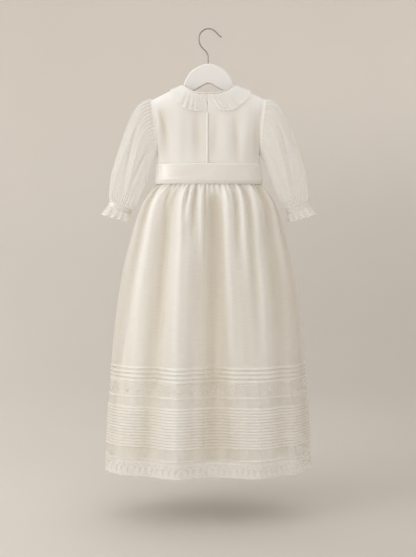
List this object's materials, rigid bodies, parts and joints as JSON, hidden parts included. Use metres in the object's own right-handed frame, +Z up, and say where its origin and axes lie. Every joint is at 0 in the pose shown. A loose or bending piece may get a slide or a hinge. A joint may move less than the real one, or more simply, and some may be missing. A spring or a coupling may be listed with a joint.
{
  "type": "christening gown on a hanger",
  "caption": "Long white christening gown with frilled collar, sheer sleeves, satin sash and tucked, lace-hemmed skirt, on a hanger.",
  "frame": {"origin": "the hook's seat, at the top of the inside of its bend, where a rail or peg carries the hanger", "axes": "+Z up; +Y out of the gown's front; the back, with its opening and placket, faces -Y; +X to the right of someone looking at the back"},
  "size_m": [0.4592, 0.2044, 0.944],
  "materials": {
    "organza": "sheer ivory organza with a soft sheen",
    "bodice_cloth": "ivory organza over matching lining",
    "lining": "plain ivory lining, matt",
    "lace": "fine embroidered ivory lace",
    "satin": "smooth ivory satin",
    "painted_wood": "painted white, satin",
    "hook_wire": "polished wire"
  },
  "bodies": {
    "root": {"bodice_back_left": "bodice_cloth", "bodice_back_right": "bodice_cloth", "bodice_front": "bodice_cloth", "collar_left": "organza", "collar_right": "organza", "cuff_frill_left": "lace", "cuff_frill_right": "lace", "cuff_left": "satin", "cuff_right": "satin", "hanger": "painted_wood", "hem_lace_back_left": "lace", "hem_lace_back_right": "lace", "hem_lace_front": "lace", "hook": "hook_wire", "insertion_back_left": "lace", "insertion_back_right": "lace", "insertion_front": "lace", "lining_back": "lining", "lining_front": "lining", "neck_binding": "satin", "placket": "organza", "sash_back": "satin", "sash_front": "satin", "skirt_back_left": "organza", "skirt_back_right": "organza", "skirt_front": "organza", "sleeve_left": "organza", "sleeve_right": "organza", "tucked_band_back_left": "organza", "tucked_band_back_right": "organza", "tucked_band_front": "organza"}
  },
  "joints": []
}
